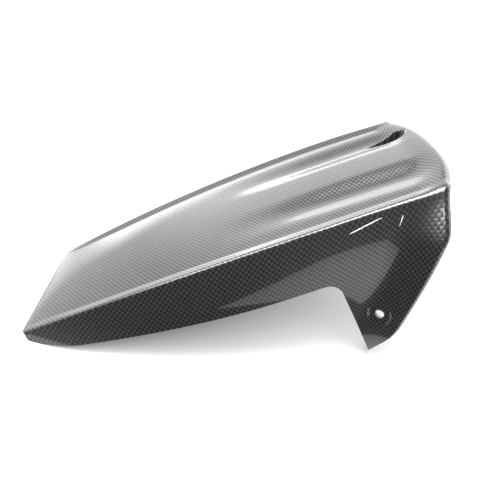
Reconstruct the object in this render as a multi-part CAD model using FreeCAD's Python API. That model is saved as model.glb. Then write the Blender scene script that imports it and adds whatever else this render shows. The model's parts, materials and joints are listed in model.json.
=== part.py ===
import FreeCAD, Part
import math
import os

# Motorcycle rear fender, a hugger: one moulded laminate shell over the rear wheel.
# Millimetres. X runs from the tail to the front edge, Y across, Z up from the ground
# that the tail corners and the two leg tips stand on. The mid-plane is Y = 0.

# Overall shape
length = 418.0                # tail end to front edge, along the mid-plane
tail_half_width = 69.9        # shoulder line to mid-plane, at the tail
widest_half_width = 81.9      # the same, at the widest station
front_half_width = 75.2       # the same, at the front edge
widest_station = 255.0        # distance of the widest station from the tail
tail_height = 4.5             # shoulder line above the ground, at the tail
front_height = 181.0          # the same, at the front edge
shoulder_bow = 0.207          # bow of the shoulder line, as a share of its rise
wall = 2.0                    # thickness of the laminate

# Top panel
ridge_height = 3.0            # how far the shoulder crests stand over the panel
ridge_width = 12.0            # slope from the panel up to a crest
ridge_start = 90.0            # distance from the tail at which the crests are full
ridge_end = 26.0              # distance behind the front edge at which they fade
crown_height = 2.5            # rise of the panel at the mid-plane
valley_depth = 4.5            # two shallow valleys that run up to the front edge
valley_offset = 38.0          # mid-plane to the middle of a valley
valley_half_width = 24.0
valley_start = 200.0          # distances from the tail
valley_full = 330.0
valley_end = 34.0             # distance behind the front edge

# Side walls
wall_lean = 0.62              # outward run for each mm of drop, under the crest
rear_bend_drop = 150.0        # drop over which the wall turns upright, at the rear
front_bend_drop = 36.0        # the same, at the front
bend_start = 120.0            # stations between which it changes
bend_end = 330.0

# Front rim
corner_setback = 12.6         # how far the rim's shoulder corners lie behind its middle
rim_lean = 0.245              # rearward run of the rim for each mm of drop
flare_reach = 22.5            # how far the collar stands out from the wall
flare_depth = 46.0            # length over which the wall flares out, with the lip
flare_power = 2.2
flare_start = 31.0            # drop under the crest over which the flare begins
flare_drop = 175.0            # drop at which it has ended
flare_end = 68.0              # last stretch of that drop, over which it ends
lip_length = 8.0              # lip along the rim, turned inwards
lip_turn = 5.8                # how far the lip's edge lies inside the rim

# Lower edge, seen from the side
edge_start = 40.0             # where the straight edge would meet the ground
edge_slope = 0.333
tail_edge_radius = 235.0      # bend between the ground and the straight edge
notch_setback = 98.7          # corner of the lower edge and the leg, behind the front edge
notch_radius = 14.0
leg_slope = 2.07              # fall of the leg's rear edge for each mm of run
leg_tip_radius = 5.0
tail_corner_radius = 10.0

# Screw pocket in one valley, and the bores
pocket_offset = 36.5          # mid-plane to the middle of the pocket
pocket_tip = 51.0             # pocket's pointed rear end, behind the front edge
pocket_end = 13.0             # pocket's round front end, behind the front edge
pocket_radius = 7.5
pocket_bore_setback = 26.0    # bore of the pocket, behind the front edge
bore_diameter = 8.4
leg_bore_height = 61.5
leg_bore_setback = 23.0       # bore of a leg, behind the rim
seat_diameter = 20.0          # flat seat round a leg bore
seat_wall = 3.0

# Shares of the half section that the panel and the slope of a crest take
PANEL_SHARE = 0.45
CREST_SHARE = 0.55
PANEL_POINTS = 20
SLOPE_POINTS = 1
WALL_POINTS = 5
CLEAR = 30.0                  # overrun of cutting tools
UNDER = 8.0                   # overrun of the untrimmed walls, under the ground
SEW = 0.005                   # widest seam that is sewn

crest_turn = math.atan2(1.0, wall_lean)


def ease(start, end, value):
    """Smooth step from 0 at start to 1 at end."""
    t = min(max((value - start) / (end - start), 0.0), 1.0)
    return t * t * (3.0 - 2.0 * t)


def half_width(x):
    """Shoulder line in plan: two parabolas that meet at the widest station."""
    if x < widest_station:
        share = (widest_station - x) / widest_station
        return widest_half_width - (widest_half_width - tail_half_width) * share ** 2
    share = (x - widest_station) / (length - widest_station)
    return widest_half_width - (widest_half_width - front_half_width) * share ** 2


def shoulder_height(x):
    """Shoulder line from the side: one parabola."""
    share = x / length
    rise = front_height - tail_height
    return tail_height + rise * ((1.0 + shoulder_bow) * share - shoulder_bow * share ** 2)


def crest_rise(x, behind):
    """Height of the crests over the panel: full along the body, fading at both ends."""
    return ridge_height * ease(0.0, ridge_start, x) * ease(lip_length, ridge_end, behind)


def panel_height(x, y, behind):
    """Top panel: a crown between the crests, and two valleys."""
    edge = half_width(x) - ridge_width
    crown = crown_height * ease(0.0, ridge_start, x) * (1.0 - (y / edge) ** 2)
    depth = valley_depth * ease(valley_start, valley_full, x) * ease(lip_length, valley_end, behind)
    across = min(abs(y - valley_offset) / valley_half_width, 1.0)
    valley = depth * math.cos(0.5 * math.pi * across) ** 2
    return shoulder_height(x) - crest_rise(x, behind) + crown - valley


def flare(below, behind):
    """How far the wall stands out in the collar behind the lip, at a drop under the crest."""
    reach = flare_reach * ease(0.0, flare_start, below) * ease(0.0, flare_end, flare_drop - below)
    short = max(behind - lip_length, 0.0) / (flare_depth - lip_length)
    return reach * max(1.0 - short, 0.0) ** flare_power


def outer_point(station, place):
    """Point of the outer skin. Station is measured on the mid-plane, place from -1 to 1 across."""
    share = abs(place)
    panel = min(share / PANEL_SHARE, 1.0)
    slope = min(max((share - PANEL_SHARE) / (CREST_SHARE - PANEL_SHARE), 0.0), 1.0)
    drop = max((share - CREST_SHARE) / (1.0 - CREST_SHARE), 0.0) * (shoulder_height(station) + UNDER)
    behind = length - station
    setback = corner_setback * (0.8 * panel ** 3 + 0.2 * slope) + rim_lean * drop
    x = station - setback * ease(0.5 * length, length, station)
    bend = rear_bend_drop + (front_bend_drop - rear_bend_drop) * ease(bend_start, bend_end, x)
    lean = wall_lean * math.exp(-drop / bend)
    y = panel * (half_width(x) - ridge_width) + slope * ridge_width
    y += (wall_lean - lean) * bend + flare(drop, behind)
    if share < PANEL_SHARE:
        z = panel_height(x, y, behind)
    else:
        z = shoulder_height(x) - (1.0 - slope) * crest_rise(x, behind) - drop
    turn = math.atan2(1.0, lean) if drop > 0.0 else slope * crest_turn
    lip = lip_turn * max(1.0 - behind / lip_length, 0.0)
    return FreeCAD.Vector(x, math.copysign(y - lip * math.sin(turn), place), z - lip * math.cos(turn))


def outward(station, place):
    """Mitred normal of the outer skin: square to the skin, and longer where it folds."""
    total = FreeCAD.Vector(0, 0, 0)
    here = outer_point(station, place)
    for step in (-0.01, 0.01):
        for shift in (-1e-4, 1e-4):
            if not 0.0 <= station + step <= length:
                step = -step
            if abs(place + shift) > 1.0:
                shift = -shift
            along = (outer_point(station + step, place) - here) * step
            across = (outer_point(station, place + shift) - here) * shift
            total += along.cross(across).normalize() * 0.25
    return total * (1.0 / total.dot(total))


def skin_point(station, place, depth):
    """Point at a depth under the outer skin."""
    return outer_point(station, place) - outward(station, place) * depth


def section_edge(station, depth, start, end, count):
    """One smooth edge of a section, from one place across to another."""
    shares = [i / count for i in range(count + 1)]
    points = [skin_point(station, start + (end - start) * share, depth) for share in shares]
    curve = Part.BSplineCurve()
    curve.interpolate(Points=points, Parameters=shares)
    return curve.toShape()


def section_edges(station, depth):
    """Section of the skin at a depth: wall, slope, panel, slope, wall."""
    spans = [(-1.0, -CREST_SHARE, WALL_POINTS), (-CREST_SHARE, -PANEL_SHARE, SLOPE_POINTS),
             (-PANEL_SHARE, PANEL_SHARE, PANEL_POINTS),
             (PANEL_SHARE, CREST_SHARE, SLOPE_POINTS), (CREST_SHARE, 1.0, WALL_POINTS)]
    return [section_edge(station, depth, start, end, count) for start, end, count in spans]


def low_border(skin, side):
    """Border of a skin along the untrimmed foot of one wall."""
    edges = [edge for edge in skin.Edges if edge.CenterOfMass.y * side > 0]
    return min(edges, key=lambda edge: edge.CenterOfMass.z)


def moulded_length(start, end, count, ruled):
    """Faces of one length of the shell: outer and inner skin, and the foot of each wall."""
    stations = [start + (end - start) * i / count for i in range(count + 1)]
    outer = [section_edges(station, 0.0) for station in stations]
    inner = [section_edges(station, wall) for station in stations]
    skins = [Part.makeLoft([Part.Wire(edges) for edges in sections], False, ruled) for sections in (outer, inner)]
    faces = skins[0].Faces + skins[1].Faces
    for side in (-1, 1):
        faces.append(Part.makeRuledSurface(low_border(skins[0], side), low_border(skins[1], side)))
    for station, at in ((start, 0), (end, -1)):
        if station in (0.0, length):
            faces += [Part.makeRuledSurface(*pair) for pair in zip(outer[at], inner[at])]
    return faces


def moulded_skin():
    """Untrimmed shell: tail, valleys, flare and lip in one skin of even thickness."""
    flare_station = length - flare_depth
    lip_station = length - lip_length
    faces = moulded_length(0.0, valley_start, 4, False)
    faces += moulded_length(valley_start, flare_station, 7, True)
    faces += moulded_length(flare_station, lip_station, 7, True)
    faces += moulded_length(lip_station, length, 1, True)
    shell = Part.makeShell(faces)
    shell.sewShape(SEW)
    solid = Part.makeSolid(shell)
    if solid.Volume < 0:
        solid.reverse()
    return solid


def rounded_corner(before, corner, after, radius):
    """Arc of a radius in the corner of three points, with its two ends."""
    first = (before - corner).normalize()
    second = (after - corner).normalize()
    half = 0.5 * first.getAngle(second)
    start = corner + first * (radius / math.tan(half))
    end = corner + second * (radius / math.tan(half))
    middle = corner + (first + second).normalize() * (radius / math.sin(half) - radius)
    return start, Part.Arc(start, middle, end).toShape(), end


def under_edge():
    """Everything under the lower edge, as a block across the whole width."""
    reach = widest_half_width + flare_reach + 2.0 * CLEAR
    notch_station = length - notch_setback
    notch_height = edge_slope * (notch_station - edge_start)
    tip = notch_station + notch_height / leg_slope
    y = -reach
    rear = FreeCAD.Vector(-CLEAR, y, 0)
    corners = [(FreeCAD.Vector(edge_start, y, 0), tail_edge_radius),
               (FreeCAD.Vector(notch_station, y, notch_height), notch_radius),
               (FreeCAD.Vector(tip, y, 0), leg_tip_radius)]
    front = FreeCAD.Vector(length + CLEAR, y, 0)
    points = [rear] + [corner for corner, radius in corners] + [front]
    edges = []
    last = rear
    for i, (corner, radius) in enumerate(corners):
        start, arc, end = rounded_corner(points[i], corner, points[i + 2], radius)
        edges += [Part.makeLine(last, start), arc]
        last = end
    low = FreeCAD.Vector(0, 0, -2.0 * CLEAR)
    edges += [Part.makeLine(last, front), Part.makeLine(front, front + low)]
    edges += [Part.makeLine(front + low, rear + low), Part.makeLine(rear + low, rear)]
    return Part.Face(Part.Wire(edges)).extrude(FreeCAD.Vector(0, 2.0 * reach, 0))


def tail_corner(side):
    """What lies outside the rounding of one tail corner, in plan."""
    width = tail_half_width + wall_lean * tail_height
    spread = wall_lean * (front_height - tail_height) * (1.0 + shoulder_bow) / length
    low = FreeCAD.Vector(0, 0, -CLEAR)
    corner = FreeCAD.Vector(0, side * width, 0) + low
    along = corner + FreeCAD.Vector(CLEAR, side * spread * CLEAR, 0)
    start, arc, end = rounded_corner(low, corner, along, tail_corner_radius)
    beyond = corner + FreeCAD.Vector(-CLEAR, side * CLEAR, 0)
    edges = [arc, Part.makeLine(end, beyond), Part.makeLine(beyond, start)]
    return Part.Face(Part.Wire(edges)).extrude(FreeCAD.Vector(0, 0, 2.0 * CLEAR))


def teardrop(grow, floor, top):
    """Upright teardrop block of the pocket: round in front, pointed behind."""
    radius = pocket_radius + grow
    centre = FreeCAD.Vector(length - pocket_end - pocket_radius, pocket_offset, floor)
    reach = pocket_tip - pocket_end - pocket_radius
    sine = pocket_radius / reach
    tip = centre - FreeCAD.Vector(radius / sine, 0, 0)
    touch = FreeCAD.Vector(-radius * sine, radius * math.sqrt(1.0 - sine ** 2), 0)
    left = centre + touch
    right = centre + FreeCAD.Vector(touch.x, -touch.y, 0)
    front = centre + FreeCAD.Vector(radius, 0, 0)
    edges = [Part.makeLine(tip, left), Part.Arc(left, front, right).toShape(), Part.makeLine(right, tip)]
    return Part.Face(Part.Wire(edges)).extrude(FreeCAD.Vector(0, 0, top - floor))


def over_middle():
    """Space over the middle of the laminate, round the pocket."""
    stations = [length - pocket_tip - CLEAR + (pocket_tip + CLEAR - 4.0) * i / 16 for i in range(17)]
    spread = PANEL_SHARE / (front_half_width - ridge_width)
    places = [spread * (pocket_offset + 2.5 * pocket_radius * (i / 8 - 1.0)) for i in range(17)]
    patch = Part.BSplineSurface()
    patch.interpolate([[skin_point(s, p, 0.5 * wall) for p in places] for s in stations])
    return patch.toShape().extrude(FreeCAD.Vector(0, 0, 2.0 * CLEAR))


def pocket_floor():
    """Height of the pocket's level floor, where its tip runs out into the panel."""
    station = length - pocket_tip
    return panel_height(station, pocket_offset, pocket_tip) - 0.5


def with_pocket(shell):
    """Shell with the screw pocket moulded into one valley."""
    floor = pocket_floor()
    top = front_height + CLEAR
    body = teardrop(wall, floor - wall, top).cut(over_middle())
    shell = shell.fuse(body)
    shell = shell.cut(teardrop(0.0, floor, top))
    bore_at = FreeCAD.Vector(length - pocket_bore_setback, pocket_offset, floor - CLEAR)
    return shell.cut(Part.makeCylinder(0.5 * bore_diameter, 2.0 * CLEAR, bore_at))


def leg_place(side):
    """Place across, at the leg bore's station, that lies at the bore's height."""
    station = length - leg_bore_setback
    high = CREST_SHARE
    low = 1.0
    for step in range(40):
        middle = 0.5 * (high + low)
        if outer_point(station, side * middle).z > leg_bore_height:
            high = middle
        else:
            low = middle
    return station, side * middle


def with_leg_bore(shell, side):
    """Shell with a flat seat and a bore through one leg, square to its skin."""
    station, place = leg_place(side)
    centre = outer_point(station, place)
    axis = outward(station, place).normalize()
    pad = Part.makeCylinder(0.5 * seat_diameter, seat_wall, centre - axis * (seat_wall + 0.4), axis)
    shell = shell.fuse(pad)
    shell = shell.cut(Part.makeCylinder(0.5 * seat_diameter, CLEAR, centre - axis * 0.4, axis))
    bore = Part.makeCylinder(0.5 * bore_diameter, CLEAR, centre - axis * 0.5 * CLEAR, axis)
    return shell.cut(bore)


def fender():
    """The whole moulded fender."""
    shell = moulded_skin().cut(under_edge())
    for side in (-1, 1):
        shell = shell.cut(tail_corner(side))
        shell = with_leg_bore(shell, side)
    shell = with_pocket(shell).Solids[0]
    shell.translate(FreeCAD.Vector(-0.5 * length, 0, 0))
    return shell


os.makedirs("parts", exist_ok=True)
part = fender()
part.exportStep("parts/fender_shell.step")
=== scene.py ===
"""Rear fender of a motorcycle: the moulded carbon shell, its weave and clear coat, and a white studio."""
import json
import math

import bmesh
import bpy
import numpy as np
from mathutils import Matrix, Quaternion, Vector


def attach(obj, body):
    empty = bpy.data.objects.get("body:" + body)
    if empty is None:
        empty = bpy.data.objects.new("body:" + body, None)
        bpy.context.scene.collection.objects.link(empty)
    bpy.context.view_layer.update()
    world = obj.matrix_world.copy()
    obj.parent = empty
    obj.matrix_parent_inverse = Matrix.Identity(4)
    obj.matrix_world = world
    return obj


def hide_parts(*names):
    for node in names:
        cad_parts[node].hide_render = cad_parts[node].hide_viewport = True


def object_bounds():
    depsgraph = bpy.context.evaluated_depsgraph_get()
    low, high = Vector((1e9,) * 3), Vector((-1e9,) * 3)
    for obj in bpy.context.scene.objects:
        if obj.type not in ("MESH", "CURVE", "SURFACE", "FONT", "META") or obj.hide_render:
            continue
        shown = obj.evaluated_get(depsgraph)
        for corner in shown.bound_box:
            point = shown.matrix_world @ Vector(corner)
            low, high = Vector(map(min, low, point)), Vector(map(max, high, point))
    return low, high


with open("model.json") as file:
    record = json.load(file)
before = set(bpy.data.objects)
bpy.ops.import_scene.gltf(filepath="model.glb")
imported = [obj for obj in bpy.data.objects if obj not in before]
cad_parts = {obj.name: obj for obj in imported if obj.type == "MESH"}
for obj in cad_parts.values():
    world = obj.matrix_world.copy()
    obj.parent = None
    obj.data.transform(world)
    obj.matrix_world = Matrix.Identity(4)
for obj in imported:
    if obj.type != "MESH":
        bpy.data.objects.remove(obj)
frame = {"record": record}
CAD_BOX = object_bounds()

bl_info = {
    "name": "Rear Fender",
    "version": (1, 0, 0),
    "blender": (4, 5, 0),
    "location": "View3D > Sidebar > Fender",
    "description": "Moulded carbon rear fender with a woven, clear coated skin",
    "category": "Object",
}

# The shell's sizes in millimetres, with X measured from the tail along the mid-plane
LENGTH = 1000.0 * (CAD_BOX[1][0] - CAD_BOX[0][0])
TAIL_HALF_WIDTH = 69.9
WIDEST_HALF_WIDTH = 81.9
FRONT_HALF_WIDTH = 75.2
WIDEST_STATION = 255.0
TAIL_HEIGHT = 4.5
FRONT_HEIGHT = 181.0
SHOULDER_BOW = 0.207
WALL = 2.0
RIDGE_HEIGHT = 3.0
RIDGE_WIDTH = 12.0
RIDGE_START = 90.0
RIDGE_END = 26.0
CREST_SWELL = 0.7
CREST_SWELL_START = 75.0
CROWN_HEIGHT = 2.5
VALLEY_DEPTH = 4.5
VALLEY_OFFSET = 38.0
VALLEY_HALF_WIDTH = 24.0
VALLEY_START = 200.0
VALLEY_FULL = 330.0
VALLEY_END = 34.0
WALL_LEAN = 0.62
REAR_BEND_DROP = 150.0
FRONT_BEND_DROP = 36.0
BEND_START = 120.0
BEND_END = 330.0
CORNER_SETBACK = 12.6
PANEL_SETBACK_SHARE = 0.8
SLOPE_SETBACK_SHARE = 0.2
RIM_LEAN = 0.245
FLARE_REACH = 22.5
FLARE_DEPTH = 46.0
FLARE_POWER = 2.2
FLARE_DROP = 175.0
FLARE_END = 68.0
FLARE_START = 31.0
LIP_LENGTH = 8.0
LIP_TURN = 5.8
EDGE_START = 40.0
EDGE_SLOPE = 0.333
TAIL_EDGE_RADIUS = 235.0
NOTCH_SETBACK = 98.7
NOTCH_RADIUS = 14.0
LEG_SLOPE = 2.07
LEG_TIP_RADIUS = 8.0
TAIL_CORNER_RADIUS = 10.0
TAIL_CORNER_FADE = 40.0
POCKET_OFFSET = 36.5
POCKET_TIP = 51.0
POCKET_END = 13.0
POCKET_RADIUS = 7.5
POCKET_TIP_DEPTH = 0.5
POCKET_WALL_RUN = 1.6
POCKET_LIP_RUN = 0.3
SEAT_RADIUS = 10.0
SEAT_WALL = 3.0
SEAT_BLEND = 0.6
SEAT_REACH = 12.0
CREST_TURN = math.atan2(1.0, WALL_LEAN)

# Rows and stations of the grid, and the search for the lower edge
TAIL_STATIONS = 70
POCKET_STATIONS = 58
LIP_STATIONS = 14
PANEL_ROWS = 26
POCKET_ROWS = 34
SLOPE_ROWS = 6
CREST_ROWS = 9
WALL_ROWS = 58
POCKET_SPREAD = 1.4
FOOT_MARGIN = 10.0
FOOT_HALVINGS = 40

# The bores' cutters, in metres, and the angle from which an edge is drawn sharp
BORE_SIDES = 64
BORE_REACH = 0.012
SHARP_ANGLE = math.radians(45.0)

# The cloth: its relief in metres, how fibre and resin take the light, and its drape over the shell
TOW_HEIGHT = 0.00012
TOW_CROWN = -0.5
GAP_POWER = 6.0
GAP_DEPTH = 0.6
GAP_COLOUR = "#050506"
FIBRE_METALLIC = 0.75
FIBRE_STRETCH = 0.6
RESIN_IOR = 1.55
CLOTH_DRAW = 0.66
CLOTH_GAIN = 0.00038
CLOTH_ACROSS = 0.93
PANEL_SHEAR = (-0.04, 0.2)
WALL_SHEAR = (0.09, -0.34)

# The studio, in metres and radians
FLOOR_REACH = 4.0
FLOOR_CORNER = (0.19, -0.135)
FLOOR_SIDE = -1.5
PAPER_ROUGHNESS = 0.9
PAPER_IOR = 1.3
LIGHT_PLACE = (0.0, 0.0, 1.4)
LIGHT_AIM = (0.0, 0.0, 0.0)
LIGHT_SIZE = (0.8, 0.8)
LAMP_PLACE = (0.25, -1.5, 0.6)
LAMP_SIZE = (0.025, 0.26)
LAMP_ROLL = math.radians(-32.0)
LAMP_AIM = (0.13, -0.085, 0.144)
CAMERA_PLACE = (0.0241, -0.3357, 0.319)
CAMERA_DOWN = math.radians(38.17)
CAMERA_TURN = math.radians(2.06)
CAMERA_LENS = 27.0
CAMERA_SENSOR = 36.0

# The world: each pair is where a smooth step starts and ends along a part of the unit direction
WINDOW_WAY = (-0.1, 0.87, 0.48)
WINDOW_EDGE = (0.8, 0.97)
CEILING_EDGE = (0.6, 0.85)
CEILING_SHARE = 0.25
SWEEP_FOOT_SLANT = 0.5
SWEEP_FOOT_EDGE = (0.32, 0.44)
SWEEP_FOOT_SIDE = (-0.35, 0.05)
SWEEP_FOOT_SHARE = 0.35
SWEEP_EDGE = (-0.15, 0.35)
STRIP_MIDDLE = 0.1
STRIP_EDGE = (0.1, 0.24)
STRIP_HEIGHT = (0.45, 0.7)
STRIP_END = (0.1, 0.3)
DOME_EDGE = (0.0, 0.8)
HORIZON_LEVEL = 0.0
BACKDROP_LEVEL = 1.1


def ease(start, end, value):
    """Smooth step: three t squared less two t cubed, with t from 0 at start to 1 at end."""
    t = np.clip((value - start) / (end - start), 0.0, 1.0)
    return t * t * (3.0 - 2.0 * t)


def half_width(x):
    """Shoulder line in plan: two parabolas that meet at the widest station."""
    rear = (WIDEST_STATION - x) / WIDEST_STATION
    front = (x - WIDEST_STATION) / (LENGTH - WIDEST_STATION)
    rear_loss = (WIDEST_HALF_WIDTH - TAIL_HALF_WIDTH) * rear ** 2
    front_loss = (WIDEST_HALF_WIDTH - FRONT_HALF_WIDTH) * front ** 2
    return WIDEST_HALF_WIDTH - np.where(x < WIDEST_STATION, rear_loss, front_loss)


def shoulder_height(x):
    """Shoulder line from the side: one parabola."""
    share = x / LENGTH
    rise = (1.0 + SHOULDER_BOW) * share - SHOULDER_BOW * share ** 2
    return TAIL_HEIGHT + (FRONT_HEIGHT - TAIL_HEIGHT) * rise


def crest_rise(x, behind):
    """Height of the crests over the panel: full along the body, fading at both ends."""
    return RIDGE_HEIGHT * ease(0.0, RIDGE_START, x) * ease(LIP_LENGTH, RIDGE_END, behind)


def panel_height(x, y, behind):
    """Top panel: a parabolic crown between the crests, less two valleys of squared cosine."""
    crown = CROWN_HEIGHT * ease(0.0, RIDGE_START, x) * (1.0 - (y / (half_width(x) - RIDGE_WIDTH)) ** 2)
    depth = VALLEY_DEPTH * ease(VALLEY_START, VALLEY_FULL, x) * ease(LIP_LENGTH, VALLEY_END, behind)
    across = np.clip(np.abs(y - VALLEY_OFFSET) / VALLEY_HALF_WIDTH, 0.0, 1.0)
    return shoulder_height(x) - crest_rise(x, behind) + crown - depth * np.cos(0.5 * np.pi * across) ** 2


def lip(behind):
    """Inward turn of the rim: a square law over the lip's length."""
    return LIP_TURN * np.clip(1.0 - behind / LIP_LENGTH, 0.0, 1.0) ** 2


def setback(station):
    """Share of the rim's setback that a station takes, from none at half length to all at the rim."""
    return ease(0.5 * LENGTH, LENGTH, station)


def panel_point(station, share):
    """Panel at a share of the way from the mid-plane to the foot of a crest."""
    behind = LENGTH - station
    x = station - PANEL_SETBACK_SHARE * CORNER_SETBACK * share ** 3 * setback(station)
    y = share * (half_width(x) - RIDGE_WIDTH)
    return np.stack([x, y, panel_height(x, y, behind) - lip(behind)], -1)


def slope_point(station, share):
    """Slope of a crest, a smooth step up from the panel at share 0 to the crest at share 1."""
    behind = LENGTH - station
    x = station - CORNER_SETBACK * (PANEL_SETBACK_SHARE + SLOPE_SETBACK_SHARE * share) * setback(station)
    turn = share * CREST_TURN
    y = half_width(x) - RIDGE_WIDTH * (1.0 - share) - lip(behind) * np.sin(turn)
    fall = (1.0 - ease(0.0, 1.0, share)) * crest_rise(x, behind)
    return np.stack([x, y, shoulder_height(x) - fall - lip(behind) * np.cos(turn)], -1)


def flare(drop, behind):
    """Flare of the wall: smooth steps in under the crest and out towards the leg's tip, times a power law."""
    short = np.clip(behind - LIP_LENGTH, 0.0, None) / (FLARE_DEPTH - LIP_LENGTH)
    grow = np.clip(1.0 - short, 0.0, 1.0) ** FLARE_POWER
    return FLARE_REACH * ease(0.0, FLARE_START, drop) * ease(0.0, FLARE_END, FLARE_DROP - drop) * grow


def wall_point(station, drop):
    """Side wall at a drop under the crest: its lean dies away exponentially, and the flare is added."""
    behind = LENGTH - station
    x = station - (CORNER_SETBACK + RIM_LEAN * drop) * setback(station)
    bend = REAR_BEND_DROP + (FRONT_BEND_DROP - REAR_BEND_DROP) * ease(BEND_START, BEND_END, x)
    lean = WALL_LEAN * np.exp(-drop / bend)
    turn = np.arctan2(1.0, lean)
    y = half_width(x) + (WALL_LEAN - lean) * bend + flare(drop, behind) - lip(behind) * np.sin(turn)
    return np.stack([x, y, shoulder_height(x) - drop - lip(behind) * np.cos(turn)], -1)


def rounded(x, low, corner_x, corner_z, before, after, radius):
    """Curve low(x) with the corner of two slopes replaced by a circle that touches both."""
    first, second = math.atan(before), math.atan(after)
    run = radius * math.tan(0.5 * abs(second - first))
    start, end = corner_x - run * math.cos(first), corner_x + run * math.cos(second)
    sign = 1.0 if second > first else -1.0
    centre_x = start - sign * radius * math.sin(first)
    centre_z = corner_z - run * math.sin(first) + sign * radius * math.cos(first)
    arc = centre_z - sign * np.sqrt(np.clip(radius ** 2 - (x - centre_x) ** 2, 0.0, None))
    return np.where((x > start) & (x < end), arc, low)


def lower_edge(x):
    """Height of the lower edge: ground, straight edge, notch, rear edge of the leg, ground."""
    notch = LENGTH - NOTCH_SETBACK
    height = EDGE_SLOPE * (notch - EDGE_START)
    tip = notch + height / LEG_SLOPE
    straight = np.clip(EDGE_SLOPE * (x - EDGE_START), 0.0, None)
    low = np.where(x < notch, straight, np.clip(LEG_SLOPE * (tip - x), 0.0, None))
    low = rounded(x, low, EDGE_START, 0.0, 0.0, EDGE_SLOPE, TAIL_EDGE_RADIUS)
    low = rounded(x, low, notch, height, EDGE_SLOPE, -LEG_SLOPE, NOTCH_RADIUS)
    return rounded(x, low, tip, 0.0, -LEG_SLOPE, 0.0, LEG_TIP_RADIUS)


def foot_drop(station, start):
    """Drop at which the wall meets the lower edge, halved in on between the crest and the ground."""
    high = start + 0.0 * station
    low = shoulder_height(station) + FOOT_MARGIN
    for _ in range(FOOT_HALVINGS):
        middle = 0.5 * (high + low)
        point = wall_point(station, middle)
        above = point[..., 2] > lower_edge(point[..., 0])
        high = np.where(above, middle, high)
        low = np.where(above, low, middle)
    return high


def half_section(stations, panel_shares, crest_run):
    """Rows of one half: panel, slope, crest and wall down to the lower edge.

    A parabola rounds the crest, over a run that swells by a smooth step towards the rim.
    """
    count = len(panel_shares)
    panel = panel_point(stations[:, :count], panel_shares)
    swell = CREST_SWELL * ease(LENGTH - CREST_SWELL_START, LENGTH - LIP_LENGTH, stations[:, :1])
    run = crest_run * (1.0 + swell)
    slope_end = 1.0 - run / RIDGE_WIDTH
    crest_drop = run * math.sin(CREST_TURN)
    slope_shares = np.linspace(0.0, 1.0, SLOPE_ROWS + 1)[1:] * slope_end
    slope = slope_point(stations[:, count:count + SLOPE_ROWS], slope_shares)
    at = stations[:, count + SLOPE_ROWS:count + SLOPE_ROWS + CREST_ROWS]
    t = np.linspace(0.0, 1.0, CREST_ROWS + 1)[1:, None]
    first = slope_point(at, slope_end + 0.0 * at)
    corner = slope_point(at, 1.0 + 0.0 * at)
    last = wall_point(at, crest_drop + 0.0 * at)
    crest = (1.0 - t) ** 2 * first + 2.0 * t * (1.0 - t) * corner + t ** 2 * last
    at = stations[:, count + SLOPE_ROWS + CREST_ROWS:]
    share = np.linspace(0.0, 1.0, WALL_ROWS + 1)[1:]
    foot = foot_drop(at, crest_drop)
    wall = wall_point(at, crest_drop + (foot - crest_drop) * share)
    return np.concatenate([panel, slope, crest, wall], axis=1)


def grid_stations():
    """Stations from tail to rim, closer at the flare and pocket and closest on the lip."""
    flare_start = LENGTH - FLARE_DEPTH - LIP_LENGTH
    lip_start = LENGTH - LIP_LENGTH
    return np.concatenate([np.linspace(0.0, flare_start, TAIL_STATIONS, endpoint=False),
                           np.linspace(flare_start, lip_start, POCKET_STATIONS, endpoint=False),
                           np.linspace(lip_start, LENGTH, LIP_STATIONS)])


def grid_panel_shares():
    """Shares across half the panel, closer where the pocket lies."""
    edge = FRONT_HALF_WIDTH - RIDGE_WIDTH
    low = (POCKET_OFFSET - POCKET_SPREAD * POCKET_RADIUS) / edge
    high = (POCKET_OFFSET + POCKET_SPREAD * POCKET_RADIUS) / edge
    inner = PANEL_ROWS // 2
    return np.concatenate([np.linspace(0.0, low, inner, endpoint=False),
                           np.linspace(low, high, POCKET_ROWS, endpoint=False),
                           np.linspace(high, 1.0, PANEL_ROWS - inner)])


def half_shell(crest_run):
    """Half of the outer skin, with the tail corner drawn in to a circle in plan."""
    shares = grid_panel_shares()
    rows = len(shares) + SLOPE_ROWS + CREST_ROWS + WALL_ROWS
    stations = np.repeat(grid_stations()[:, None], rows, axis=1)
    points = half_section(stations, shares, crest_run)
    inset = np.clip(points[:, -1:, 1] - points[..., 1], 0.0, TAIL_CORNER_RADIUS)
    cut = TAIL_CORNER_RADIUS - np.sqrt(TAIL_CORNER_RADIUS ** 2 - (TAIL_CORNER_RADIUS - inset) ** 2)
    stations = stations + cut * np.clip(1.0 - stations / TAIL_CORNER_FADE, 0.0, 1.0)
    return half_section(stations, shares, crest_run)


def skin_normals(points):
    """Outward unit normals of a grid, from the cross product of its two directions."""
    along = np.gradient(points, axis=0)
    across = np.gradient(points, axis=1)
    normal = np.cross(along, across)
    return normal / np.linalg.norm(normal, axis=-1, keepdims=True)


def with_pocket(points, grow, sink):
    """Grid with the screw pocket pressed in to a level floor.

    In plan the pocket is a teardrop: a circle with tangents to a point.
    """
    centre_x = LENGTH - POCKET_END - POCKET_RADIUS
    sine = POCKET_RADIUS / (POCKET_TIP - POCKET_END - POCKET_RADIUS)
    cosine = math.sqrt(1.0 - sine ** 2)
    back = centre_x - points[..., 0]
    side = np.abs(points[..., 1] - POCKET_OFFSET)
    on_line = back * cosine - side * sine > 0.0
    distance = np.where(on_line, back * sine + side * cosine, np.hypot(back, side)) - POCKET_RADIUS - grow
    tip_x = np.array(LENGTH - POCKET_TIP)
    floor = panel_height(tip_x, np.array(POCKET_OFFSET), POCKET_TIP) - POCKET_TIP_DEPTH - sink
    inside = 1.0 - ease(-POCKET_WALL_RUN, POCKET_LIP_RUN, distance)
    depth = np.clip(points[..., 2] - floor, 0.0, None) * inside
    pressed = points.copy()
    pressed[..., 2] -= depth
    return pressed


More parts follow.
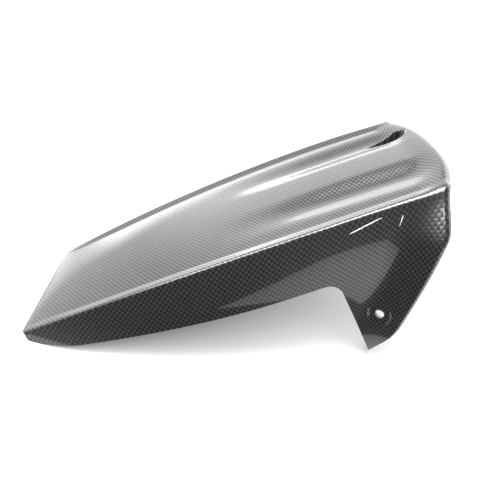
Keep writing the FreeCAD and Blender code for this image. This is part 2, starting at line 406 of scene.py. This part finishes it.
def with_seat(points, centre, axis, depth):
    """Grid pressed level round a bore, at a depth under the seat's centre."""
    offset = points - centre
    height = offset @ axis
    reach = np.linalg.norm(offset - height[..., None] * axis, axis=-1)
    inside = 1.0 - ease(SEAT_RADIUS - SEAT_BLEND, SEAT_RADIUS + SEAT_BLEND, reach)
    share = inside * (np.abs(height) < SEAT_REACH)
    return points - (share * (height + depth))[..., None] * axis


def leg_bores():
    """Middle and axis of each leg's bore as the record states them, in millimetres from the tail."""
    mounts = [mount for mount in frame["record"]["mounts"] if mount["name"].endswith("leg_bore")]
    shift = np.array([0.5 * LENGTH, 0.0, 0.0])
    return [(1000.0 * np.array(mount["pos_m"]) + shift, np.array(mount["axis"])) for mount in mounts]


def skins(crest_run):
    """Outer and inner skin as grids from one foot over the top to the other foot."""
    half = half_shell(crest_run)
    other = half[:, :0:-1] * np.array([1.0, -1.0, 1.0])
    outer = np.concatenate([other, half], axis=1)
    inner = outer - WALL * skin_normals(outer)
    inner[..., 2] = np.clip(inner[..., 2], 0.0, None)
    outer = with_pocket(outer, 0.0, 0.0)
    inner = with_pocket(inner, WALL, WALL)
    for middle, axis in leg_bores():
        seat = middle + axis * 0.5 * SEAT_WALL
        outer = with_seat(outer, seat, axis, 0.0)
        inner = with_seat(inner, seat, axis, SEAT_WALL)
    return outer, inner


def grid_faces(rows, columns, start):
    """Quads of a grid of points that begins at an index."""
    index = start + np.arange(rows * columns).reshape(rows, columns)
    quads = [index[:-1, :-1], index[1:, :-1], index[1:, 1:], index[:-1, 1:]]
    return np.stack(quads, -1).reshape(-1, 4)


def border_faces(rows, columns):
    """Quads that close the laminate's edge between the borders of the two skins."""
    index = np.arange(rows * columns).reshape(rows, columns)
    ring = np.concatenate([index[0, :-1], index[:-1, -1], index[-1, :0:-1], index[:0:-1, 0]])
    after = np.roll(ring, -1)
    return np.stack([ring, after, after + rows * columns, ring + rows * columns], -1)


def row_length(steps):
    """Length along each row of a grid from the tail, drawn out towards the tail by a square law."""
    length = np.concatenate([np.zeros_like(steps[:1]), np.cumsum(steps, axis=0)])
    return length * (CLOTH_DRAW + CLOTH_GAIN * length)


def weave_places(points):
    """Cloth coordinates in millimetres along and across the panel and the walls, sheared as cloth drapes."""
    y, z = points[..., 1], points[..., 2]
    steps = np.diff(points, axis=0)
    middle = steps[:, points.shape[1] // 2]
    panel_warp, panel_weft = PANEL_SHEAR
    wall_warp, wall_weft = WALL_SHEAR
    along = row_length(np.linalg.norm(middle, axis=-1))[:, None] + 0.0 * y
    level = row_length(np.hypot(steps[..., 0], steps[..., 1]))
    panel = np.stack([along + panel_warp * y, panel_weft * along + CLOTH_ACROSS * y], -1)
    wall = np.stack([level + wall_warp * z, wall_weft * level + CLOTH_ACROSS * z], -1)
    return panel, wall


def weave_uv(outer, faces):
    """Cloth coordinates of every face corner: a face takes the panel's or the walls' as a whole."""
    panel, wall = weave_places(outer)
    count = outer.shape[0] * outer.shape[1]
    columns = outer.shape[1]
    corner = faces % count
    place = np.abs(corner % columns - columns // 2)
    wall_row = len(grid_panel_shares()) + SLOPE_ROWS + CREST_ROWS // 2
    on_wall = place.max(axis=1) > wall_row
    chosen = np.where(on_wall[:, None, None], wall.reshape(-1, 2)[corner], panel.reshape(-1, 2)[corner])
    return chosen.reshape(-1, 2)


def shell_mesh(name, crest_run):
    """Closed mesh of the laminate, in metres in the frame of the part."""
    outer, inner = skins(crest_run)
    rows, columns = outer.shape[:2]
    skin = grid_faces(rows, columns, 0)
    back = grid_faces(rows, columns, rows * columns)[:, ::-1]
    faces = np.concatenate([skin, back, border_faces(rows, columns)[:, ::-1]])
    points = np.concatenate([outer.reshape(-1, 3), inner.reshape(-1, 3)])
    points = (points - np.array([0.5 * LENGTH, 0.0, 0.0])) * 0.001
    mesh = bpy.data.meshes.new(name)
    mesh.from_pydata(points, [], faces)
    border = len(faces) - len(skin) - len(back)
    material = np.repeat([0, 1, 0], [len(skin), len(back), border])
    mesh.polygons.foreach_set("material_index", material.astype(np.int32))
    layer = mesh.uv_layers.new(name="weave")
    layer.uv.foreach_set("vector", weave_uv(outer, faces).astype(np.float32).ravel())
    return mesh


def cut_bores(shell):
    """Cuts the record's bores, each a cylinder long enough to pass the wall on both sides."""
    for mount in frame["record"]["mounts"]:
        radius = 0.001 * mount["dims"]["r_mm"]
        turn = Vector((0.0, 0.0, 1.0)).rotation_difference(Vector(mount["axis"])).to_matrix().to_4x4()
        shape = bmesh.new()
        bmesh.ops.create_cone(shape, cap_ends=True, segments=BORE_SIDES, radius1=radius, radius2=radius,
                              depth=BORE_REACH, matrix=Matrix.Translation(mount["pos_m"]) @ turn)
        mesh = bpy.data.meshes.new("cutter")
        shape.to_mesh(mesh)
        shape.free()
        cutter = bpy.data.objects.new("cutter", mesh)
        bpy.context.collection.objects.link(cutter)
        cut = shell.modifiers.new("bore", "BOOLEAN")
        cut.object = cutter
        cut.operation = "DIFFERENCE"
        cut.solver = "EXACT"
        graph = bpy.context.evaluated_depsgraph_get()
        finished = bpy.data.meshes.new_from_object(shell.evaluated_get(graph))
        shell.modifiers.clear()
        shell.data = finished
        bpy.data.objects.remove(cutter)


def colour(text):
    """Linear colour of an sRGB hex text."""
    values = [int(text[i:i + 2], 16) / 255.0 for i in (1, 3, 5)]
    linear = [v / 12.92 if v <= 0.04045 else ((v + 0.055) / 1.055) ** 2.4 for v in values]
    return (*linear, 1.0)


def add_node(tree, kind, inputs=(), **settings):
    """New node with its settings, its sockets set to values or linked from other sockets."""
    node = tree.nodes.new(kind)
    for key, value in settings.items():
        setattr(node, key, value)
    for key, value in dict(inputs).items():
        if isinstance(value, bpy.types.NodeSocket):
            tree.links.new(value, node.inputs[key])
        else:
            node.inputs[key].default_value = value
    return node


def arithmetic(tree, operation, *values):
    """Result of a math node on values or sockets."""
    node = add_node(tree, "ShaderNodeMath", dict(enumerate(values)), operation=operation)
    return node.outputs[0]


def fold(tree, place):
    """Distance from the middle of a tow, 0 in the middle and 1 at its sides."""
    part = arithmetic(tree, "FRACT", place)
    centred = arithmetic(tree, "SUBTRACT", part, 0.5)
    return arithmetic(tree, "MULTIPLY", arithmetic(tree, "ABSOLUTE", centred), 2.0)


def choose(tree, share, first, second):
    """First where the share is 0, second where it is 1, mixed between."""
    return add_node(tree, "ShaderNodeMix", {0: share, 2: first, 3: second}).outputs[0]


def smooth_range(tree, value, start, end, first, second):
    """First up to the start, second from the end on, and a smooth step between."""
    return add_node(tree, "ShaderNodeMapRange", {0: value, 1: start, 2: end, 3: first, 4: second},
                    interpolation_type="SMOOTHSTEP").outputs[0]


def choose_colour(tree, share, first, second):
    """First colour where the share is 0, second where it is 1, mixed between."""
    return add_node(tree, "ShaderNodeMix", {0: share, 6: first, 7: second}, data_type="RGBA").outputs[2]


def weave(tree, tow_width):
    """Plain weave from the cloth coordinates: which tow is on top, and the distances across and along it."""
    place = add_node(tree, "ShaderNodeUVMap", uv_map="weave").outputs[0]
    parts = add_node(tree, "ShaderNodeSeparateXYZ", {0: place})
    along = arithmetic(tree, "DIVIDE", parts.outputs[0], tow_width)
    across = arithmetic(tree, "DIVIDE", parts.outputs[1], tow_width)
    cell = arithmetic(tree, "ADD", arithmetic(tree, "FLOOR", along), arithmetic(tree, "FLOOR", across))
    weft = arithmetic(tree, "FLOORED_MODULO", cell, 2.0)
    side = choose(tree, weft, fold(tree, across), fold(tree, along))
    end = choose(tree, weft, fold(tree, along), fold(tree, across))
    return weft, side, end


def carbon_material(name, look, coat):
    """Carbon cloth in resin: tows that glint by turns, partly by their stretched reflection and partly by a
    painted sheen, the warp painted lighter than the weft, with a flat clear coat over them where coat is 1.
    """
    material = bpy.data.materials.new(name)
    material.use_nodes = True
    tree = material.node_tree
    tree.nodes.clear()
    weft, side, end = weave(tree, look.tow_width)
    # Painted sheen: the warp is painted lighter than the weft to stand for the glint of the fibre direction
    tow = choose_colour(tree, weft, tuple(look.warp_sheen_colour), tuple(look.weft_shade_colour))
    gap = arithmetic(tree, "MULTIPLY", arithmetic(tree, "POWER", side, GAP_POWER), GAP_DEPTH)
    tint = choose_colour(tree, gap, tow, colour(GAP_COLOUR))
    crown = arithmetic(tree, "MULTIPLY", arithmetic(tree, "POWER", side, 2.0), TOW_CROWN)
    dive = arithmetic(tree, "MULTIPLY", arithmetic(tree, "POWER", end, 2.0), TOW_CROWN)
    height = arithmetic(tree, "ADD", crown, dive)
    bump = add_node(tree, "ShaderNodeBump", {"Height": height, "Distance": TOW_HEIGHT, "Strength": 1.0})
    tangent = add_node(tree, "ShaderNodeTangent", direction_type="UV_MAP", uv_map="weave")
    quarter_turn = arithmetic(tree, "MULTIPLY", weft, 0.25)
    # Carbon fibre reflects like a dull metal, stretched along the tow; the epoxy coat is the mirror over it
    shader = add_node(tree, "ShaderNodeBsdfPrincipled", {
        "Base Color": tint, "Metallic": FIBRE_METALLIC, "Roughness": look.fibre_roughness, "IOR": RESIN_IOR,
        "Anisotropic": FIBRE_STRETCH, "Anisotropic Rotation": quarter_turn, "Tangent": tangent.outputs[0],
        "Normal": bump.outputs[0], "Coat Weight": coat, "Coat Roughness": look.coat_roughness,
        "Coat IOR": RESIN_IOR})
    add_node(tree, "ShaderNodeOutputMaterial", {0: shader.outputs[0]})
    return material


class FenderLook(bpy.types.PropertyGroup):
    """Sizes and colours of the shell that can be changed."""
    crest_run: bpy.props.FloatProperty(
        name="Crest rounding", description="Run of the crests' rounding on each side, in mm",
        default=3.2, min=1.0)
    tow_width: bpy.props.FloatProperty(
        name="Tow width", description="Width of one tow of the cloth, in mm", default=2.2, min=0.5)
    fibre_roughness: bpy.props.FloatProperty(
        name="Fibre roughness", description="Roughness of the tows", default=0.42, min=0.0, max=1.0)
    coat_roughness: bpy.props.FloatProperty(
        name="Coat roughness", description="Roughness of the clear coat", default=0.03, min=0.0, max=1.0)
    # The warp's lighter colour is a painted sheen over the tows' own dark colour, and the weft's darker
    # colour is painted shade
    warp_sheen_colour: bpy.props.FloatVectorProperty(
        name="Warp", description="Tows along the fender", size=4, subtype="COLOR", default=colour("#606163"))
    weft_shade_colour: bpy.props.FloatVectorProperty(
        name="Weft", description="Tows across the fender", size=4, subtype="COLOR", default=colour("#2e2e30"))


class StageLook(bpy.types.PropertyGroup):
    """Light and ground of the studio."""
    floor_colour: bpy.props.FloatVectorProperty(
        name="Floor", description="Colour of the floor", size=4, subtype="COLOR", default=colour("#f4f4f4"))
    # Painted shade: a grey floor colour seen only in reflections, which darkens the floor mirrored in the
    # coat
    reflection_shade_colour: bpy.props.FloatVectorProperty(
        name="Mirrored floor", description="Colour of the floor in the coat", size=4, subtype="COLOR",
        default=colour("#c8c8c8"))
    light_power: bpy.props.FloatProperty(
        name="Light power", description="Power of the overhead light", default=14.0, min=0.0, unit="POWER")
    lamp_power: bpy.props.FloatProperty(
        name="Lamp power", description="Power of the small lamp mirrored in the wall",
        default=0.6, min=0.0, unit="POWER")
    sweep_level: bpy.props.FloatProperty(
        name="Sweep level", description="Brightness of the white sweep behind the part",
        default=1.25, min=0.0)
    window_level: bpy.props.FloatProperty(
        name="Window level", description="Brightness of the soft window in the sweep", default=2.3, min=0.0)
    foot_level: bpy.props.FloatProperty(
        name="Foot level", description="Brightness that the sweep gains at its foot", default=3.2, min=0.0)
    strip_level: bpy.props.FloatProperty(
        name="Strip level", description="Brightness of the strip overhead, mirrored in the crests",
        default=12.0, min=0.0)
    dome_level: bpy.props.FloatProperty(
        name="Dome level", description="Brightness of the white dome overhead", default=2.2, min=0.0)
    room_level: bpy.props.FloatProperty(
        name="Room level", description="Brightness of the room on the camera's side", default=0.05, min=0.0)


class FENDER_OT_shell(bpy.types.Operator):
    """Build the moulded shell with its weave"""
    bl_idname = "fender.shell"
    bl_label = "Build Shell"

    def execute(self, context):
        look = context.scene.fender_look
        mesh = shell_mesh("fender_skin", look.crest_run)
        mesh.materials.append(carbon_material("clear coated carbon cloth", look, 1.0))
        mesh.materials.append(carbon_material("bare carbon laminate", look, 0.0))
        shell = bpy.data.objects.new("fender_skin", mesh)
        context.collection.objects.link(shell)
        cut_bores(shell)
        shell.data.shade_smooth()
        shell.data.set_sharp_from_angle(angle=SHARP_ANGLE)
        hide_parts("fender_shell")
        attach(shell, "root")
        return {"FINISHED"}


class FENDER_OT_stage(bpy.types.Operator):
    """Set up the floor, the white studio and the camera"""
    bl_idname = "fender.stage"
    bl_label = "Set Up Stage"

    def execute(self, context):
        look = context.scene.fender_stage
        make_floor(look)
        make_world(look)
        make_light("overhead", LIGHT_PLACE, LIGHT_AIM, 0.0, LIGHT_SIZE, look.light_power)
        make_light("lamp", LAMP_PLACE, LAMP_AIM, LAMP_ROLL, LAMP_SIZE, look.lamp_power)
        make_camera()
        context.scene.view_settings.view_transform = "Standard"
        return {"FINISHED"}


def make_floor(look):
    """Pale level floor, cut away at the front left so that the coat mirrors the dark room there."""
    mesh = bpy.data.meshes.new("floor")
    side, front = FLOOR_CORNER
    corners = [(-FLOOR_REACH, front, 0), (side, front, 0), (FLOOR_SIDE, -FLOOR_REACH, 0),
               (FLOOR_REACH, -FLOOR_REACH, 0), (FLOOR_REACH, FLOOR_REACH, 0), (-FLOOR_REACH, FLOOR_REACH, 0)]
    mesh.from_pydata(corners, [], [tuple(range(len(corners)))])
    material = bpy.data.materials.new("white paper")
    material.use_nodes = True
    tree = material.node_tree
    tree.nodes.clear()
    mirrored = add_node(tree, "ShaderNodeLightPath").outputs["Is Glossy Ray"]
    tint = choose_colour(tree, mirrored, tuple(look.floor_colour), tuple(look.reflection_shade_colour))
    # Matt paper gives an even white ground; where the coat mirrors it the paper is painted grey, a painted
    # shade in the coat's reflection
    shader = add_node(tree, "ShaderNodeBsdfPrincipled", {
        "Base Color": tint, "Roughness": PAPER_ROUGHNESS, "IOR": PAPER_IOR})
    add_node(tree, "ShaderNodeOutputMaterial", {0: shader.outputs[0]})
    mesh.materials.append(material)
    floor = bpy.data.objects.new("floor", mesh)
    bpy.context.collection.objects.link(floor)


def make_world(look):
    """Studio round the part, which differs by the kind of ray.

    The camera sees plain white, and soft light comes from a dome. The coat mirrors a white sweep with a soft
    window, a bright foot and a darker ceiling, a strip overhead, and a dark room in front.
    """
    world = bpy.data.worlds.new("studio")
    bpy.context.scene.world = world
    world.use_nodes = True
    tree = world.node_tree
    tree.nodes.clear()
    direction = add_node(tree, "ShaderNodeTexCoord").outputs["Generated"]
    x, y, z = add_node(tree, "ShaderNodeSeparateXYZ", {0: direction}).outputs
    near = add_node(tree, "ShaderNodeVectorMath", {0: direction, 1: WINDOW_WAY}, operation="DOT_PRODUCT")
    sweep = smooth_range(tree, near.outputs[1], *WINDOW_EDGE, look.sweep_level, look.window_level)
    wall = arithmetic(tree, "MULTIPLY", sweep, smooth_range(tree, z, *CEILING_EDGE, 1.0, CEILING_SHARE))
    slant = arithmetic(tree, "SUBTRACT", z, arithmetic(tree, "MULTIPLY", x, SWEEP_FOOT_SLANT))
    low = smooth_range(tree, slant, *SWEEP_FOOT_EDGE, look.foot_level, 0.0)
    foot = arithmetic(tree, "MULTIPLY", low, smooth_range(tree, x, *SWEEP_FOOT_SIDE, 1.0, SWEEP_FOOT_SHARE))
    back = arithmetic(tree, "ADD", wall, foot)
    behind = smooth_range(tree, y, *SWEEP_EDGE, 0.0, 1.0)
    off = arithmetic(tree, "ABSOLUTE", arithmetic(tree, "SUBTRACT", y, STRIP_MIDDLE))
    strip = smooth_range(tree, off, *STRIP_EDGE, look.strip_level, 0.0)
    high = arithmetic(tree, "MULTIPLY", strip, smooth_range(tree, z, *STRIP_HEIGHT, 0.0, 1.0))
    overhead = arithmetic(tree, "MULTIPLY", high, smooth_range(tree, x, *STRIP_END, 1.0, 0.0))
    mirrored = arithmetic(tree, "ADD", choose(tree, behind, look.room_level, back), overhead)
    dome = smooth_range(tree, z, *DOME_EDGE, HORIZON_LEVEL, look.dome_level)
    path = add_node(tree, "ShaderNodeLightPath")
    lit = choose(tree, path.outputs["Is Glossy Ray"], dome, mirrored)
    strength = choose(tree, path.outputs["Is Camera Ray"], lit, BACKDROP_LEVEL)
    shader = add_node(tree, "ShaderNodeBackground", {"Color": (1.0, 1.0, 1.0, 1.0), "Strength": strength})
    add_node(tree, "ShaderNodeOutputWorld", {0: shader.outputs[0]})


def make_light(name, place, aim, roll, size, power):
    """Soft light of a size at a place, turned to the point it is aimed at and rolled about that line."""
    data = bpy.data.lights.new(name, "AREA")
    data.energy = power
    data.shape = "ELLIPSE"
    data.size, data.size_y = size
    light = bpy.data.objects.new(name, data)
    light.location = place
    facing = (Vector(aim) - Vector(place)).to_track_quat("-Z", "Y")
    light.rotation_euler = (facing @ Quaternion((0.0, 0.0, 1.0), roll)).to_euler()
    bpy.context.collection.objects.link(light)


def make_camera():
    """Camera at the photograph's view: in front of the near wall, looking down."""
    data = bpy.data.cameras.new("camera")
    data.sensor_width = CAMERA_SENSOR
    data.lens = CAMERA_LENS
    camera = bpy.data.objects.new("camera", data)
    camera.location = CAMERA_PLACE
    camera.rotation_euler = (0.5 * math.pi - CAMERA_DOWN, 0.0, -CAMERA_TURN)
    bpy.context.collection.objects.link(camera)
    bpy.context.scene.camera = camera


class FENDER_PT_panel(bpy.types.Panel):
    """Sidebar panel of the fender"""
    bl_label = "Rear Fender"
    bl_idname = "FENDER_PT_panel"
    bl_space_type = "VIEW_3D"
    bl_region_type = "UI"
    bl_category = "Fender"

    def draw(self, context):
        for group in (context.scene.fender_look, context.scene.fender_stage):
            for name in group.bl_rna.properties.keys():
                if name not in ("rna_type", "name"):
                    self.layout.prop(group, name)
        for operator in (FENDER_OT_shell, FENDER_OT_stage):
            self.layout.operator(operator.bl_idname)


CLASSES = (FenderLook, StageLook, FENDER_OT_shell, FENDER_OT_stage, FENDER_PT_panel)


def register():
    for item in CLASSES:
        bpy.utils.register_class(item)
    bpy.types.Scene.fender_look = bpy.props.PointerProperty(type=FenderLook)
    bpy.types.Scene.fender_stage = bpy.props.PointerProperty(type=StageLook)


def unregister():
    del bpy.types.Scene.fender_stage
    del bpy.types.Scene.fender_look
    for item in reversed(CLASSES):
        bpy.utils.unregister_class(item)


def main():
    """Builds the shell and its stage."""
    register()
    bpy.ops.fender.shell()
    bpy.ops.fender.stage()


if __name__ == "__main__":
    main()
